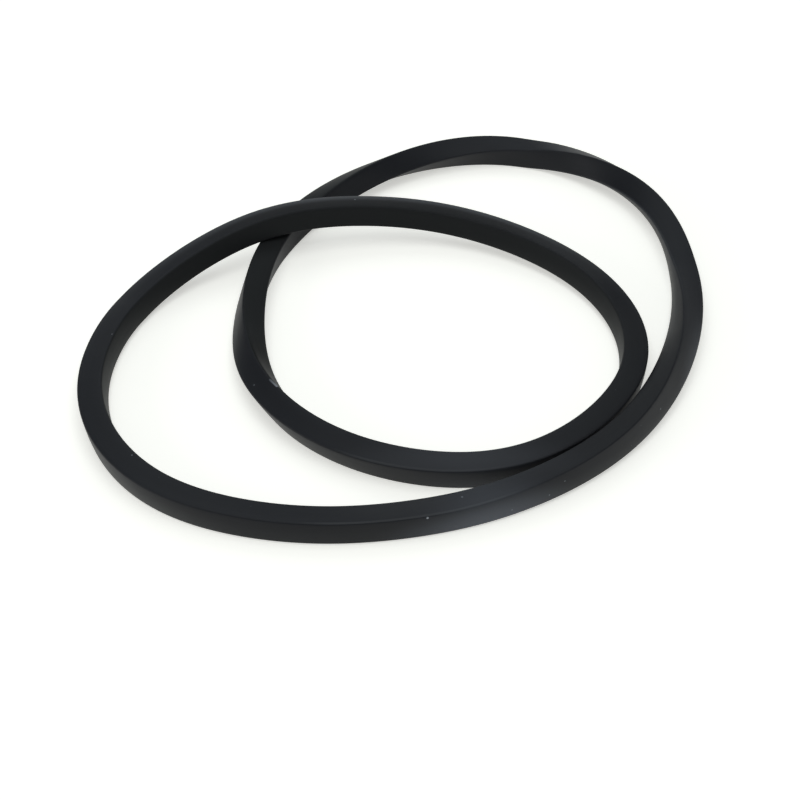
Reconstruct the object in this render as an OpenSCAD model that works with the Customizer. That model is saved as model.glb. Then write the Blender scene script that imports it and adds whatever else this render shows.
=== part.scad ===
// Clutch cover gasket: one endless rubber ring of square section, lying loose in two loops.
// The ring was moulded flat. Doubled up like this, one strand crosses over the other once and
// the section makes one full turn along the outer loop. Millimetres, +Z up, on the plane z = 0.

/* [Section] */
// Radial width of the moulded section
section_w = 10; // [8:0.5:12]
// Height of the moulded section, from sealing face to sealing face
section_h = 10; // [8:0.5:12]
// Rounding of the four moulded edges
edge_r = 0.9; // [0.3:0.1:2]

/* [Ring] */
// Developed length of the ring along its centre line
ring_length = 1275; // [1150:5:1500]

/* [Lay] */
// Gap left under the strand that crosses over the other
cross_gap = 0.3; // [0.1:0.1:2]
// Gap left between the strands where they lie side by side
side_gap = 0.3; // [0.1:0.1:2]

/* [Mesh] */
// Cross-sections from one point of the lay to the next
span_steps = 8; // [4:1:9]
// Steps round each moulded edge
edge_steps = 3; // [1:1:4]

/* [Hidden] */

// Middle of the two loops, from which the touching strands are moved apart
lay_middle = [0, 45];
// Rolled by less than this the ring lies flat on a sealing face, pressed down by its own weight
flat_roll = 1.5;
// Rolled by more than this it keeps the roll it has
free_roll = 5;
// Passes that settle the slopes of the curve
slope_passes = 24;

// The lay, clockwise from the near side, as [x, y, lift, roll, side]. Lift is the share of the
// crossing height, roll is how far the top has turned outwards in degrees, and side moves the
// outer strand out (1) and the inner strand in (-1) where the two lie against each other.
lay = [
    [0, -72, 0, 0, 0],
    [-45, -73, 0, 0, 0],
    [-89, -57, 0, 5, 0],
    [-116, -22, 0, 10, 0],
    [-121, 21, 0, 10, 0],
    [-104, 65, 0.12, 10, 0],
    [-65, 95, 0.98, 6, 0],
    [-21, 109.5, 0.94, 5, 0],
    [24, 108.5, 0.5, 6, 0],
    [65, 88, 0.12, 12, 0],
    [90, 53, 0, 12, 0],
    [94.5, 8, 0, 6, -0.5],
    [68.5, -34, 0, 5, -1],
    [26, -48.5, 0, 8, -0.5],
    [-20, -35, 0, 18, 0],
    [-52.5, -2.5, 0, 30, 0],
    [-62.5, 42, 0, 62, 0],
    [-55.5, 95, 0, 85, 0],
    [-28, 138, 0, 113, 0],
    [12, 166, 0, 141, 0],
    [62, 171, 0, 181, 0],
    [105.5, 140, 0, 229, 0],
    [121, 90, 0, 263, 0],
    [112.5, 34, 0, 308, 0.5],
    [85, -17, 0, 344, 1],
    [44, -51.5, 0, 355, 1]
];
lay_count = len(lay);

// Half of what the rolled section spans: across the surface, or in height a quarter turn on
function half_span(roll) =
    (section_w / 2 - edge_r) * abs(cos(roll)) + (section_h / 2 - edge_r) * abs(sin(roll)) + edge_r;
function half_height(roll) = half_span(roll + 90);

// Height gained by crossing a strand that lies on its side
cross_height = 2 * half_height(90) + cross_gap;

function unit(v) = v / norm(v);
function total(v) = v * [for (i = v) 1];

// One row of the lay as [x, y, lift, roll], with its side step; the roll gains a turn per round
function knot(i, stretch) =
    let (row = lay[(i + lay_count) % lay_count],
         place = [row[0], row[1]],
         step = row[4] * (half_span(row[3]) + side_gap / 2),
         spot = stretch * place + step * unit(place - lay_middle))
    [spot[0], spot[1], row[2], row[3] + 360 * floor(i / lay_count)];
function knots(stretch) = [for (i = [-1:lay_count]) knot(i, stretch)];

// Slopes that give a closed curve through the knots an even bend, settled pass by pass
function slopes(k, m, passes) =
    passes == 0 ? m :
    slopes(k, [for (i = [0:lay_count - 1])
        (3 * (k[i + 2] - k[i]) - m[(i + lay_count - 1) % lay_count] - m[(i + 1) % lay_count]) / 4],
        passes - 1);
function first_slopes(k) = [for (i = [0:lay_count - 1]) (k[i + 2] - k[i]) / 2];

// Cubic from knot a to knot b with slopes ma and mb
function cubic(a, b, ma, mb, t) =
    (2 * t ^ 3 - 3 * t ^ 2 + 1) * a + (t ^ 3 - 2 * t ^ 2 + t) * ma
    + (3 * t ^ 2 - 2 * t ^ 3) * b + (t ^ 3 - t ^ 2) * mb;
function stations(stretch) =
    let (k = knots(stretch), m = slopes(k, first_slopes(k), slope_passes))
    [for (i = [0:lay_count - 1]) for (s = [0:span_steps - 1])
        cubic(k[i + 1], k[i + 2], m[i], m[(i + 1) % lay_count], s / span_steps)];

// Roll after the ring's weight has pressed its flattest stretches down
function settled(roll) =
    let (over = roll - 360 * round(roll / 360),
         pressed = flat_roll * (free_roll - abs(over)) / (free_roll - flat_roll))
    roll - sign(over) * min(abs(over), max(0, pressed));

// Centre of the section at one station, just high enough for its lowest edge to lie at its lift
function centre(s) =
    [s[0], s[1], half_height(settled(s[3])) + max(0, s[2]) * cross_height];
function centres(s) = [for (row = s) centre(row)];
function length_of(c) = total([for (i = [0:len(c) - 1]) norm(c[(i + 1) % len(c)] - c[i])]);

// The lay is stretched until its centre line measures ring_length
laid = length_of(centres(stations(1)));
stretch = ring_length / laid;
station = stations(stretch);
line = centres(station);
ring_count = len(line);

// The moulded section, once round anticlockwise, with rounded edges
profile = [for (corner = [0:3]) for (s = [0:edge_steps])
    let (a = 90 * corner + 90 * s / edge_steps,
         across = (corner == 0 || corner == 3 ? 1 : -1) * (section_w / 2 - edge_r),
         up = (corner < 2 ? 1 : -1) * (section_h / 2 - edge_r))
    [across + edge_r * cos(a), up + edge_r * sin(a)]];
side_count = len(profile);

// The profile set square to the centre line and rolled
function ring(i) =
    let (ahead = unit(line[(i + 1) % ring_count] - line[(i + ring_count - 1) % ring_count]),
         up = unit([0, 0, 1] - ahead * ahead[2]),
         out = cross(up, ahead),
         roll = settled(station[i][3]),
         wide = cos(roll) * out - sin(roll) * up,
         tall = sin(roll) * out + cos(roll) * up)
    [for (p = profile) line[i] + p[0] * wide + p[1] * tall];
skin = [for (i = [0:ring_count - 1]) each ring(i)];

// Two triangles for each side of the profile between one cross-section and the next
faces = [for (i = [0:ring_count - 1]) for (k = [0:side_count - 1])
    let (j = (i + 1) % ring_count, n = (k + 1) % side_count,
         a = i * side_count + k, b = i * side_count + n,
         c = j * side_count + n, d = j * side_count + k)
    each [[a, d, c], [a, c, b]]];

// Middle of the ring's box, which goes to the origin
function middle(v) = (min(v) + max(v)) / 2;
box_middle = [middle([for (p = skin) p[0]]), middle([for (p = skin) p[1]]), min([for (p = skin) p[2]])];

module cover_gasket() {
    color([0.12, 0.12, 0.13])
        translate(-box_middle)
            polyhedron(points = skin, faces = faces);
}

cover_gasket();
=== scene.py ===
import math

import bmesh
import bpy
from mathutils import Matrix, Vector


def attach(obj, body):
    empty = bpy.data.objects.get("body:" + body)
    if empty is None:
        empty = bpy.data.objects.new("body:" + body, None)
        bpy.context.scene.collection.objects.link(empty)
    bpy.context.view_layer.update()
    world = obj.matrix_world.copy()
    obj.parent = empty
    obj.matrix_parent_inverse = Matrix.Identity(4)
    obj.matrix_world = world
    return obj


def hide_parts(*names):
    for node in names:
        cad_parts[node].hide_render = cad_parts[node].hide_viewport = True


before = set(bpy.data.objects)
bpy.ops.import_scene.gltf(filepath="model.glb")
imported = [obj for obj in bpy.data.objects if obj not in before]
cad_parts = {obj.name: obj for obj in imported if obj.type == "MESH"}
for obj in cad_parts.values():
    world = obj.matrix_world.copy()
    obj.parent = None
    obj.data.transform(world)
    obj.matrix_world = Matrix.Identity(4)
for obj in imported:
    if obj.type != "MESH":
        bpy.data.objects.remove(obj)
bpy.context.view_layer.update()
print("frame loaded")

scene = bpy.context.scene
scene.view_settings.view_transform = "Standard"


# Camera: looks down at the lay from the near side

shot = {
    "lens": 76.42,         # mm, on a 36 mm sensor
    "sensor": 36.0,
    "pitch": 41.0,         # degrees below the horizon
    "height": 0.443,
    "aim": (0.00007, -0.04925, 0.0),
    "clip": (0.01, 20.0),
}

setback = shot["height"] / math.tan(math.radians(shot["pitch"]))
lensData = bpy.data.cameras.new("shotCamera")
lensData.lens = shot["lens"]
lensData.sensor_width = shot["sensor"]
lensData.clip_start, lensData.clip_end = shot["clip"]
camera = bpy.data.objects.new("shotCamera", lensData)
camera.location = Vector(shot["aim"]) + Vector((0, -setback, shot["height"]))
camera.rotation_euler = (math.radians(90 - shot["pitch"]), 0, 0)
scene.collection.objects.link(camera)
scene.camera = camera
print("camera set")


# Shader nodes: a socket with arithmetic, and one method for every other node

class Wire:
    def __init__(self, tree, socket):
        self.tree = tree
        self.socket = socket

    def math(self, operation, *values):
        return self.tree.node("ShaderNodeMath", {"operation": operation}, dict(enumerate(values)))

    def __add__(self, other):
        return self.math("ADD", self, other)

    def __radd__(self, other):
        return self.math("ADD", other, self)

    def __sub__(self, other):
        return self.math("SUBTRACT", self, other)

    def __rsub__(self, other):
        return self.math("SUBTRACT", other, self)

    def __mul__(self, other):
        return self.math("MULTIPLY", self, other)

    def __rmul__(self, other):
        return self.math("MULTIPLY", other, self)

    def cos(self):
        return self.math("COSINE", self)

    def sin(self):
        return self.math("SINE", self)

    def most(self, other):
        return self.math("MAXIMUM", self, other)


class Finish:
    def __init__(self, tree):
        self.tree = tree
        tree.nodes.clear()

    def node(self, kind, settings, sockets, out=0):
        made = self.tree.nodes.new(kind)
        for name, value in settings.items():
            setattr(made, name, value)
        for name, value in sockets.items():
            if isinstance(value, Wire):
                self.tree.links.new(value.socket, made.inputs[name])
            else:
                made.inputs[name].default_value = value
        if not made.outputs:
            return None
        return Wire(self, made.outputs[out])

    def vector(self, operation, out, *values):
        return self.node("ShaderNodeVectorMath", {"operation": operation}, dict(enumerate(values)), out)

    def parts(self, vector):
        return [self.node("ShaderNodeSeparateXYZ", {}, {"Vector": vector}, name) for name in "XYZ"]

    def noise(self, vector, look):
        return self.node("ShaderNodeTexNoise", {}, {
            "Vector": vector, "Scale": look["scale"],
            "Detail": look["detail"], "Roughness": look["roughness"]})

    def ease(self, value, low, high, toLow=0.0, toHigh=1.0):
        return self.node("ShaderNodeMapRange", {"interpolation_type": "SMOOTHSTEP"}, {
            "Value": value, "From Min": low, "From Max": high, "To Min": toLow, "To Max": toHigh})

    def looking(self):
        # 1 for what the camera sees, straight or in a reflection, and 0 for light that falls on things
        rays = [self.node("ShaderNodeLightPath", {}, {}, name)
                for name in ("Is Camera Ray", "Is Glossy Ray", "Is Transmission Ray")]
        return rays[0].most(rays[1]).most(rays[2])

    def blend(self, mask, first, second):
        # Sockets 0, 6 and 7 are the colour mix's factor, A and B
        return self.node("ShaderNodeMix", {"data_type": "RGBA"}, {0: mask, 6: first, 7: second}, 2)


def newFinish(name):
    material = bpy.data.materials.new(name)
    material.use_nodes = True
    return material, Finish(material.node_tree)


# Floor: a plain warm white sheet, which shows white to the camera and keeps the shadows

floorLook = {
    "size": 3.0,                       # half its side
    "drop": 0.00005,                   # below the ring, so that the two never share a plane
    "colour": (0.86, 0.845, 0.79, 1),
    "tint": (1.0, 1.0, 0.96, 1),
    "lift": 0.50,                      # glow that takes the open floor to white
    "white": (1, 1, 1, 1),
    "fade": (0.45, 0.75),              # from the middle; past this the sheet is plain white
}


def makeFloor(look):
    bm = bmesh.new()
    bmesh.ops.create_grid(bm, x_segments=1, y_segments=1, size=look["size"])
    bmesh.ops.translate(bm, verts=bm.verts, vec=(0, 0, -look["drop"]))
    mesh = bpy.data.meshes.new("floor")
    bm.to_mesh(mesh)
    bm.free()
    material, finish = newFinish("floorSheet")
    matte = finish.node("ShaderNodeBsdfDiffuse", {}, {"Color": look["colour"]})
    glow = finish.node("ShaderNodeEmission", {}, {
        "Color": look["tint"], "Strength": finish.looking() * look["lift"]})
    both = finish.node("ShaderNodeAddShader", {}, {0: matte, 1: glow})
    spot = finish.node("ShaderNodeTexCoord", {}, {}, "Object")
    away = finish.vector("LENGTH", "Value", spot)
    plain = finish.node("ShaderNodeEmission", {}, {"Color": look["white"]})
    sheet = finish.node("ShaderNodeMixShader", {}, {
        0: finish.looking() * finish.ease(away, *look["fade"]), 1: both, 2: plain})
    finish.node("ShaderNodeOutputMaterial", {}, {"Surface": sheet})
    mesh.materials.append(material)
    floor = bpy.data.objects.new("floor", mesh)
    scene.collection.objects.link(floor)
    return floor


floor = makeFloor(floorLook)
print("floor laid")


# Light: wide soft boxes overhead, behind and low on both sides, in a dim studio with no lamp in front

lamps = {
    "overhead": {"bearing": -90, "height": 82, "wide": 0.90, "tall": 0.90, "power": 4.1,
                 "colour": (0.95, 0.99, 1)},
    "back": {"bearing": 95, "height": 52, "wide": 1.00, "tall": 0.60, "power": 2.0,
             "colour": (0.90, 0.97, 1)},
    "backStrip": {"bearing": 84, "height": 7, "wide": 1.80, "tall": 0.28, "power": 1.3,
                  "colour": (0.95, 0.99, 1)},
    "left": {"bearing": 200, "height": 15, "wide": 0.70, "tall": 0.55, "power": 3.3,
             "colour": (1, 1, 1)},
    "right": {"bearing": -20, "height": 9, "wide": 0.70, "tall": 0.40, "power": 2.0,
              "colour": (1, 1, 1)},
}
studio = {"reach": 1.1, "colour": (0.205, 0.22, 0.235, 1), "white": (1, 1, 1, 1)}


def addLamp(name, lamp):
    # Bearing anticlockwise from +X and height above the floor, both in degrees
    data = bpy.data.lights.new(name, "AREA")
    data.shape = "RECTANGLE"
    data.size = lamp["wide"]
    data.size_y = lamp["tall"]
    data.energy = lamp["power"]
    data.color = lamp["colour"]
    light = bpy.data.objects.new(name, data)
    bearing, height = math.radians(lamp["bearing"]), math.radians(lamp["height"])
    level = math.cos(height)
    ahead = Vector((level * math.cos(bearing), level * math.sin(bearing), math.sin(height)))
    light.location = studio["reach"] * ahead
    light.rotation_euler = (-ahead).to_track_quat("-Z", "Y").to_euler()
    scene.collection.objects.link(light)


for name, lamp in lamps.items():
    addLamp(name, lamp)

world = bpy.data.worlds.new("studio")
scene.world = world
world.use_nodes = True
sky = Finish(world.node_tree)
seen = sky.node("ShaderNodeLightPath", {}, {}, "Is Camera Ray")
air = sky.node("ShaderNodeBackground", {}, {"Color": sky.blend(seen, studio["colour"], studio["white"])})
sky.node("ShaderNodeOutputWorld", {}, {"Surface": air})
print("lamps hung")


# Ring: the square section swept along the lay, with one full turn of roll on the way round.
# Metres and degrees. A row of the lay is x, y, lift, roll and side, as in the part's source.

ring = {
    "width": 0.0104,
    "height": 0.0104,
    "outerEdge": 0.0006,   # rounding of the two edges on the ring's outer side
    "innerEdge": 0.0008,   # and of the two on its inner side
    "crown": 0.038,        # share by which a face falls away from its middle to its edges
    "length": 1.275,
    "crossGap": 0.0001,
    "sideGap": 0.0003,
    "middle": (0.0, 0.045),  # of the two loops; strands that touch move apart along lines from it
    "flatRoll": 1.5,       # rolled less than this, the ring lies flat
    "freeRoll": 5.0,       # rolled more than this, it keeps its roll
    "passes": 24,          # that settle the slopes of the curve
    "steps": 16,           # cross-sections from one row of the lay to the next
    "measureSteps": 8,     # fewer do for measuring the lay, as in the part's source
    "edgeSteps": 5,
    "sideSteps": 6,
    "lay": [
        (0, -0.072, 0, 0, 0),
        (-0.045, -0.073, 0, 0, 0),
        (-0.089, -0.057, 0, 5, 0),
        (-0.116, -0.022, 0, 10, 0),
        (-0.121, 0.021, 0, 10, 0),
        (-0.104, 0.065, 0.12, 10, 0),
        (-0.065, 0.095, 0.98, 6, 0),
        (-0.021, 0.1095, 0.94, 5, 0),
        (0.024, 0.1085, 0.5, 6, 0),
        (0.065, 0.088, 0.12, 12, 0),
        (0.090, 0.053, 0, 12, 0),
        (0.0945, 0.008, 0, 6, -0.5),
        (0.0685, -0.034, 0, 5, -1),
        (0.026, -0.0485, 0, 8, -0.5),
        (-0.020, -0.035, 0, 18, 0),
        (-0.0525, -0.0025, 0, 30, 0),
        (-0.0625, 0.042, 0, 62, 0),
        (-0.0555, 0.095, 0, 85, 0),
        (-0.028, 0.138, 0, 113, 0),
        (0.012, 0.166, 0, 141, 0),
        (0.062, 0.171, 0, 181, 0),
        (0.1055, 0.140, 0, 229, 0),
        (0.121, 0.090, 0, 263, 0),
        (0.1125, 0.034, 0, 308, 0.5),
        (0.085, -0.017, 0, 344, 1),
        (0.044, -0.0515, 0, 355, 1),
    ],
}
rows = ring["lay"]
up = Vector((0, 0, 1))


def makeSection():
    # A unit square scaled to size, its corners rounded and its sides divided and crowned
    bm = bmesh.new()
    bmesh.ops.create_grid(bm, x_segments=1, y_segments=1, size=0.5)
    bmesh.ops.scale(bm, verts=bm.verts, vec=(ring["width"], ring["height"], 1))
    for edge, corners in (("outerEdge", [v for v in bm.verts if v.co.x > 0]),
                          ("innerEdge", [v for v in bm.verts if v.co.x < 0])):
        bmesh.ops.bevel(bm, geom=corners, offset=ring[edge], offset_type="OFFSET", affect="VERTICES",
                        segments=ring["edgeSteps"], profile=0.5, material=-1)
    sides = [e for e in bm.edges if e.calc_length() > ring["width"] / 2]   # the four between the corners
    bmesh.ops.subdivide_edges(bm, edges=sides, cuts=ring["sideSteps"] - 1)
    bmesh.ops.delete(bm, geom=list(bm.faces), context="FACES_ONLY")
    for v in bm.verts:
        x, y = 2 * v.co.x / ring["width"], 2 * v.co.y / ring["height"]
        v.co.x *= 1 - ring["crown"] * y * y
        v.co.y *= 1 - ring["crown"] * x * x
    return bm


def inOrder(bm):
    # Once round the section, anticlockwise
    return sorted(bm.verts, key=lambda v: math.atan2(v.co.y, v.co.x))


section = makeSection()
profile = [v.co.copy() for v in inOrder(section)]


def halfSpan(roll):
    turn = math.radians(roll)
    return max(p.x * math.cos(turn) + p.y * math.sin(turn) for p in profile)


def halfHeight(roll):
    return halfSpan(roll + 90)


def knotAt(i, stretch):
    x, y, lift, roll, side = rows[i % len(rows)]
    place = Vector((x, y))
    away = (place - Vector(ring["middle"])).normalized()
    spot = stretch * place + side * (halfSpan(roll) + ring["sideGap"] / 2) * away
    return Vector((spot.x, spot.y, lift, roll + 360 * (i // len(rows))))


def stationsAlong(stretch, steps):
    # Cubic through the rows, with slopes settled until the bend is even
    count = len(rows)
    knots = [knotAt(i, stretch) for i in range(-1, count + 1)]
    slopes = [(knots[i + 2] - knots[i]) / 2 for i in range(count)]
    for _ in range(ring["passes"]):
        slopes = [(3 * (knots[i + 2] - knots[i]) - slopes[i - 1] - slopes[(i + 1) % count]) / 4
                  for i in range(count)]
    found = []
    for i in range(count):
        a, b = knots[i + 1], knots[i + 2]
        ma, mb = slopes[i], slopes[(i + 1) % count]
        for s in range(steps):
            t = s / steps
            found.append((2 * t**3 - 3 * t**2 + 1) * a + (t**3 - 2 * t**2 + t) * ma
                         + (3 * t**2 - 2 * t**3) * b + (t**3 - t**2) * mb)
    return found


def settled(roll):
    over = roll - 360 * round(roll / 360)
    pressed = ring["flatRoll"] * (ring["freeRoll"] - abs(over)) / (ring["freeRoll"] - ring["flatRoll"])
    return roll - math.copysign(min(abs(over), max(0, pressed)), over)


def centreOf(station):
    crossing = 2 * halfHeight(90) + ring["crossGap"]
    return Vector((station[0], station[1], halfHeight(settled(station[3])) + max(0, station[2]) * crossing))


def gaps(points):
    return [(points[(i + 1) % len(points)] - points[i]).length for i in range(len(points))]


def sectionFrames():
    # One matrix for each cross-section: the section's width along x, its height along y
    laid = sum(gaps([centreOf(s) for s in stationsAlong(1, ring["measureSteps"])]))
    stations = stationsAlong(ring["length"] / laid, ring["steps"])
    centres = [centreOf(s) for s in stations]
    frames = []
    for i, station in enumerate(stations):
        ahead = (centres[(i + 1) % len(centres)] - centres[i - 1]).normalized()
        lean = (up - ahead * ahead.z).normalized()
        out = lean.cross(ahead)
        turn = math.radians(settled(station[3]))
        wide = math.cos(turn) * out - math.sin(turn) * lean
        tall = math.sin(turn) * out + math.cos(turn) * lean
        frames.append(Matrix.Translation(centres[i]) @ Matrix((wide, tall, -ahead)).transposed().to_4x4())
    return frames, gaps(centres)


def makeRing(bm):
    # Each cross-section is extruded from the last and set in its own frame
    frames, steps = sectionFrames()
    around = bm.verts.layers.float.new("around")
    along = bm.verts.layers.float.new("along")
    reach = gaps(profile)
    for i, v in enumerate(inOrder(bm)):
        v[around] = sum(reach[:i]) / sum(reach)
    bmesh.ops.transform(bm, matrix=frames[0], verts=bm.verts)
    rim = list(bm.edges)
    firstRim = rim
    for i in range(1, len(frames)):
        made = bmesh.ops.extrude_edge_only(bm, edges=rim)["geom"]
        verts = [g for g in made if isinstance(g, bmesh.types.BMVert)]
        fresh = set(verts)
        rim = [g for g in made if isinstance(g, bmesh.types.BMEdge) and set(g.verts) <= fresh]
        bmesh.ops.transform(bm, matrix=frames[i] @ frames[i - 1].inverted(), verts=verts)
        for v in verts:
            v[along] = sum(steps[:i]) / sum(steps)
    bmesh.ops.bridge_loops(bm, edges=firstRim + rim)
    bmesh.ops.recalc_face_normals(bm, faces=bm.faces)
    return bm, around, along


def wrapped(values):
    # The last patch before the start of a round counts on past 1
    return [v + 1 if max(values) - v > 0.5 else v for v in values]


def finishRing(bm, around, along):
    sheet = bm.loops.layers.uv.new("ringMap")
    for face in bm.faces:
        face.smooth = True
        us = wrapped([loop.vert[along] for loop in face.loops])
        vs = wrapped([loop.vert[around] for loop in face.loops])
        for loop, u, v in zip(face.loops, us, vs):
            loop[sheet].uv = (u, v)
    low = Vector(min(v.co[k] for v in bm.verts) for k in range(3))
    high = Vector(max(v.co[k] for v in bm.verts) for k in range(3))
    middle = (low + high) / 2
    bmesh.ops.translate(bm, verts=bm.verts, vec=(-middle.x, -middle.y, -low.z))
    mesh = bpy.data.meshes.new("rubber_ring")
    bm.to_mesh(mesh)
    bm.free()
    piece = bpy.data.objects.new("rubber_ring", mesh)
    scene.collection.objects.link(piece)
    return piece


ringPiece = finishRing(*makeRing(section))
print("ring swept:", len(ringPiece.data.polygons), "faces")


# Rubber: black, satin on the sealing faces and the outer side and duller on the inner one, with fine
# lengthwise
# marks, dust and specks. Painted light: paler low on the outer side, painted highlights on edges and in a few
# patches, painted shade in places.
# Places and reaches are in metres; right, back and height are x, y and z; a band is a share of the way
# round the section, from the inner side over the under side and the outer one to the sealing face on top.

rubberLook = {
    "colour": (0.0088, 0.0096, 0.0120, 1),
    "grey": (0.0148, 0.0158, 0.0190, 1),
    "innerColour": (0.0195, 0.0207, 0.0212, 1),
    "satin": 0.17,                     # specular levels of the two skins
    "dull": 0.04,
    "rough": 0.47,
    "sideEdge": (0.66, 0.76),          # cosine of the angle at which a side gives way to the next
    "low": (0.0100, 0.0010),           # heights over which a standing side takes its sheen back
    "lowSheen": 0.6,                   # share of it that the inner side takes
    "underDull": 0.25,
    "streaks": {"along": 9.0, "around": 5.0, "detail": 3.0, "roughness": 0.55, "strength": 0.10},
    "mottle": {"scale": 70.0, "detail": 3.0, "roughness": 0.55, "strength": 0.5, "roughen": 0.10},
    "grain": {"scale": 1100.0, "detail": 3.0, "roughness": 0.6, "depth": 0.00002, "strength": 0.20},
    "standing": {"right": (0.080, 0.095), "back": (-0.02, 0.02)},
    # Painted reflection: the paler colour low on the outer side, and the stretch where less of it is painted
    "foot": {"height": (0.0085, 0.0005), "back": (0.05, -0.04), "colour": (0.038, 0.040, 0.041, 1)},
    "dimFoot": {"place": (-0.022, -0.128, 0.003), "reach": (0.030, 0.070), "left": 0.35},
    # Painted highlight along the outer side's edges at the front
    "edgeHighlight": {"place": (0.004, -0.118, 0.010), "reach": (0.046, 0.026), "rims": ((0.72, 0.67), (0.54, 0.61)),
             "colour": (0.032, 0.034, 0.036, 1)},
    # Painted light: paler colour for the far loop
    "farLoopLight": {"back": (0.090, 0.125), "colour": (0.0175, 0.0185, 0.0215, 1)},
    # Painted highlight along the sealing face's outer edge
    "sealHighlight": {"bands": ((0.60, 0.63), (0.775, 0.635)), "back": (-0.01, 0.06), "least": 0.08,
               "colour": (0.045, 0.048, 0.053, 1)},
    # Painted shade: deep black on the sealing face, also used in the inner side's bend
    "paintedShade": {"band": (0.69, 0.765), "back": (0.02, 0.06), "right": (0.045, 0.085), "rightShare": 0.55,
             "colour": (0.003, 0.0034, 0.004, 1)},
    # Painted shade on the inner side where it turns up
    "bend": {"place": (-0.050, -0.046, 0.006), "reach": (0.030, 0.010)},
    # Painted highlights: pale patches on the ring
    "highlightPatches": [
        {"place": (0.032, -0.118, 0.000), "size": (0.048, 0.03, 0.0158), "colour": (0.12, 0.13, 0.15, 1)},
        {"place": (0.024, -0.0945, 0.0105), "size": (0.052, 0.017, 0.013), "colour": (0.033, 0.035, 0.04, 1)},
        {"place": (-0.004, -0.113, 0.011), "size": (0.036, 0.022, 0.016), "colour": (0.023, 0.024, 0.026, 1)},
        {"place": (0.120, -0.028, 0.003), "size": (0.016, 0.046, 0.011), "colour": (0.068, 0.072, 0.08, 1)},
    ],
    "dust": {"scale": 260.0, "size": 0.05, "share": 0.90, "soft": 0.02, "strength": 0.5,
             "colour": (0.16, 0.17, 0.19, 1)},
    # Colour of the pale specks and of the painted highlight along one edge
    "speckAndGlintColour": (0.45, 0.48, 0.52, 1),
    # Place and radius of each pale speck, and how plain it is
    "specks": [
        ((0.0100, -0.1251, 0.0096), 0.0006, 0.8),
        ((0.0227, -0.1151, 0.0104), 0.0006, 0.2),
        ((0.0412, -0.1150, 0.0037), 0.0004, 0.4),
        ((0.0554, -0.1077, 0.0042), 0.0004, 0.4),
        ((0.0612, -0.1037, 0.0075), 0.0004, 0.3),
        ((0.1012, -0.0637, 0.0080), 0.0006, 0.2),
        ((-0.0572, -0.0520, 0.0102), 0.0005, 0.2),
        ((-0.0197, 0.0615, 0.0203), 0.0005, 0.3),
        ((-0.1167, -0.0217, 0.0115), 0.0004, 0.3),
        ((-0.1001, -0.0934, 0.0111), 0.0004, 0.3),
    ],
    # A painted highlight along the edge where the inner strand turns on its side, plainer towards its end
    "edgeGlint": {"start": (-0.0507, -0.0523, 0.0132), "end": (-0.0479, -0.0560, 0.0131), "radius": 0.00070,
             "plain": (0.15, 0.50)},
}


def streakMarks(finish, along, around, marks):
    # Noise that runs along the ring and closes on itself, from the angles along it and round its section
    rope = finish.node("ShaderNodeCombineXYZ", {}, {
        "X": along.cos() * marks["along"], "Y": along.sin() * marks["along"],
        "Z": around.cos() * marks["around"]})
    return finish.node("ShaderNodeTexNoise", {"noise_dimensions": "4D"}, {
        "Vector": rope, "W": around.sin() * marks["around"], "Scale": 1.0,
        "Detail": marks["detail"], "Roughness": marks["roughness"]})


def dustMask(finish, here, dust):
    # A grain in the middle of every few cells
    cells = {"Vector": here, "Scale": dust["scale"]}
    near = finish.node("ShaderNodeTexVoronoi", {}, cells, "Distance")
    draw = finish.parts(finish.node("ShaderNodeTexVoronoi", {}, cells, "Color"))[0]
    grains = finish.ease(near, dust["size"], dust["size"] / 2)
    return grains * finish.ease(draw, dust["share"], dust["share"] + dust["soft"]) * dust["strength"]


def spotMask(finish, here, place, radius):
    return finish.ease(finish.vector("DISTANCE", "Value", here, place), radius, radius / 3)


def speckAndGlintMask(finish, here, specks, edgeGlint):
    # The painted highlight is a spot drawn out along a line, and each speck a spot of its own
    line = Vector(edgeGlint["end"]) - Vector(edgeGlint["start"])
    ahead = finish.vector("SUBTRACT", "Vector", here, edgeGlint["start"])
    share = finish.vector("DOT_PRODUCT", "Value", ahead, line / line.length_squared)
    share = finish.node("ShaderNodeClamp", {}, {"Value": share})
    # Sockets 4 and 5 are the vector mix's A and B
    nearest = finish.node("ShaderNodeMix", {"data_type": "VECTOR"}, {
        0: share, 4: edgeGlint["start"], 5: edgeGlint["end"]}, 1)
    faint, plain = edgeGlint["plain"]
    mask = spotMask(finish, here, nearest, edgeGlint["radius"]) * (share * (plain - faint) + faint)
    for place, radius, plain in specks:
        mask = mask.most(spotMask(finish, here, place, radius) * plain)
    return mask


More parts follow.
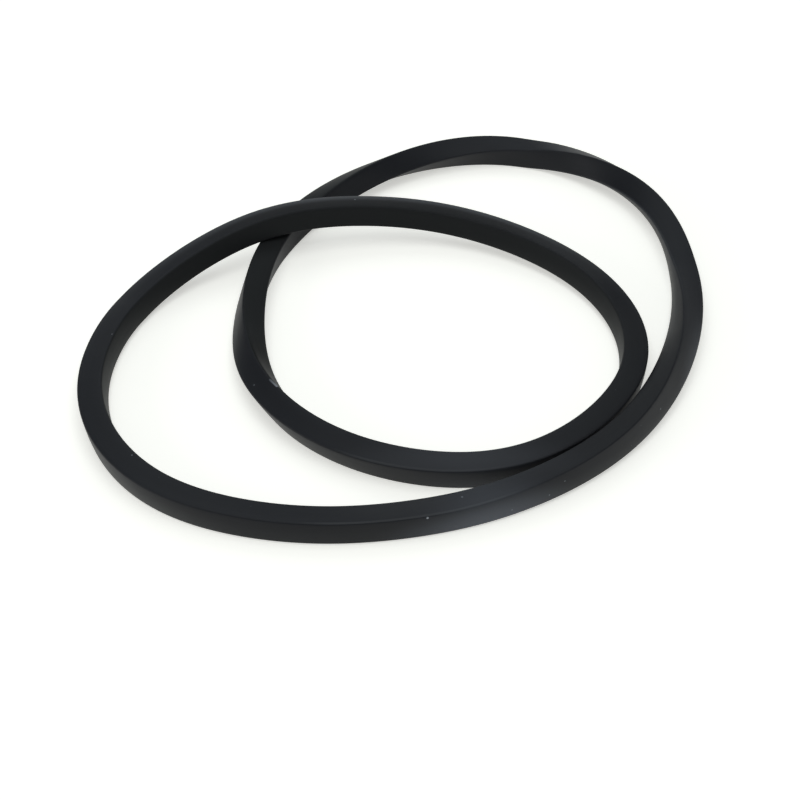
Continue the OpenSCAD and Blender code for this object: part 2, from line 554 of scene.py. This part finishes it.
def makeRubber(look):
    material, finish = newFinish("blackRubber")
    here = finish.node("ShaderNodeTexCoord", {}, {}, "Object")
    right, back, height = finish.parts(here)
    sheet = finish.node("ShaderNodeUVMap", {"uv_map": "ringMap"}, {})
    along, band = finish.parts(sheet)[:2]
    around = band * math.tau

    def side(middle):
        # 1 on one side of the section, 0 on the other three
        return finish.ease((around - middle * math.tau).cos(), *look["sideEdge"])

    def distance(place):
        return finish.vector("DISTANCE", "Value", here, place)

    inner, under, outer, sealing = side(0.0), side(0.25), side(0.5), side(0.75)
    # The sealing face stands on the inside of the far bend; low is 1 at the floor, 0 at the top
    standing = sealing
    for part, name in ((right, "right"), (back, "back")):
        standing = standing * finish.ease(part, *look["standing"][name])
    low = finish.ease(height, *look["low"])

    streaks = streakMarks(finish, along * math.tau, around, look["streaks"])
    mottle = finish.noise(here, look["mottle"])
    colour = finish.blend(mottle * look["mottle"]["strength"], look["colour"], look["grey"])

    # Painted reflection: the outer side, and a standing sealing face, are painted paler low down, less so on
    # a stretch at the front
    foot, dimFoot = look["foot"], look["dimFoot"]
    paintedFootLight = finish.ease(height, *foot["height"]) * outer * finish.ease(back, *foot["back"])
    paintedFootLight = paintedFootLight * finish.ease(distance(dimFoot["place"]), *dimFoot["reach"], dimFoot["left"], 1.0)
    colour = finish.blend(paintedFootLight.most(standing * low), colour, foot["colour"])

    # The outer side's edges carry a painted highlight at the front; a rim is a cosine from the middle of the
    # side
    edgeHighlight = look["edgeHighlight"]
    edges = finish.ease(distance(edgeHighlight["place"]), *edgeHighlight["reach"])
    for rim in edgeHighlight["rims"]:
        edges = edges * finish.ease((around - math.pi).cos(), *rim)
    colour = finish.blend(edges, colour, edgeHighlight["colour"])

    # Painted light: the far loop is a shade paler, standing in for more light on its sides that face the
    # camera
    farLoopLight = look["farLoopLight"]
    colour = finish.blend(finish.ease(back, *farLoopLight["back"]), colour, farLoopLight["colour"])

    # The sealing face carries a painted highlight along its outer edge, most on the far side, and painted
    # shade, deep black, inside of that
    sealHighlight, paintedShade = look["sealHighlight"], look["paintedShade"]
    sealSheen = finish.ease(back, *sealHighlight["back"], sealHighlight["least"], 1.0)
    for limits in sealHighlight["bands"]:
        sealSheen = sealSheen * finish.ease(band, *limits)
    colour = finish.blend(sealSheen, colour, sealHighlight["colour"])
    far = finish.ease(band, *paintedShade["band"]) * finish.ease(back, *paintedShade["back"])
    sealShade = far.most(finish.ease(right, *paintedShade["right"], 0.0, paintedShade["rightShare"])) * sealing * (1 - standing)
    colour = finish.blend(sealShade, colour, paintedShade["colour"])

    # The inner side is greyer, and painted shade darkens it in the bend where it turns up
    colour = finish.blend(inner, colour, look["innerColour"])
    bend = inner * finish.ease(distance(look["bend"]["place"]), *look["bend"]["reach"])
    colour = finish.blend(bend, colour, paintedShade["colour"])

    # Painted highlights: each patch is palest in its middle and fades out towards its size
    for highlightPatch in look["highlightPatches"]:
        away = finish.vector("SUBTRACT", "Vector", here, highlightPatch["place"])
        away = finish.vector("LENGTH", "Value", finish.vector("DIVIDE", "Vector", away, highlightPatch["size"]))
        colour = finish.blend(finish.ease(away, 1.0, 0.0), colour, highlightPatch["colour"])
    colour = finish.blend(dustMask(finish, here, look["dust"]), colour, look["dust"]["colour"])
    colour = finish.blend(speckAndGlintMask(finish, here, look["specks"], look["edgeGlint"]), colour, look["speckAndGlintColour"])

    rough = look["rough"] + (mottle - 0.5) * look["mottle"]["roughen"]
    rough = rough + (streaks - 0.5) * look["streaks"]["strength"]
    bump = finish.node("ShaderNodeBump", {}, {
        "Height": finish.noise(here, look["grain"]), "Strength": look["grain"]["strength"],
        "Distance": look["grain"]["depth"]})
    skins = [finish.node("ShaderNodeBsdfPrincipled", {}, {
        "Base Color": colour, "Roughness": rough, "Specular IOR Level": look[level], "Normal": bump})
        for level in ("satin", "dull")]
    # Standing sides are dull above and take more sheen towards the foot
    dull = bend.most(inner * (1 - low * look["lowSheen"]))
    dull = dull.most(standing * (1 - low)).most(under * look["underDull"])
    skin = finish.node("ShaderNodeMixShader", {}, {0: dull, 1: skins[0], 2: skins[1]})
    finish.node("ShaderNodeOutputMaterial", {}, {"Surface": skin})
    return material


ringPiece.data.materials.append(makeRubber(rubberLook))
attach(ringPiece, "root")
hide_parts("cover_gasket")
print("rubber finished")
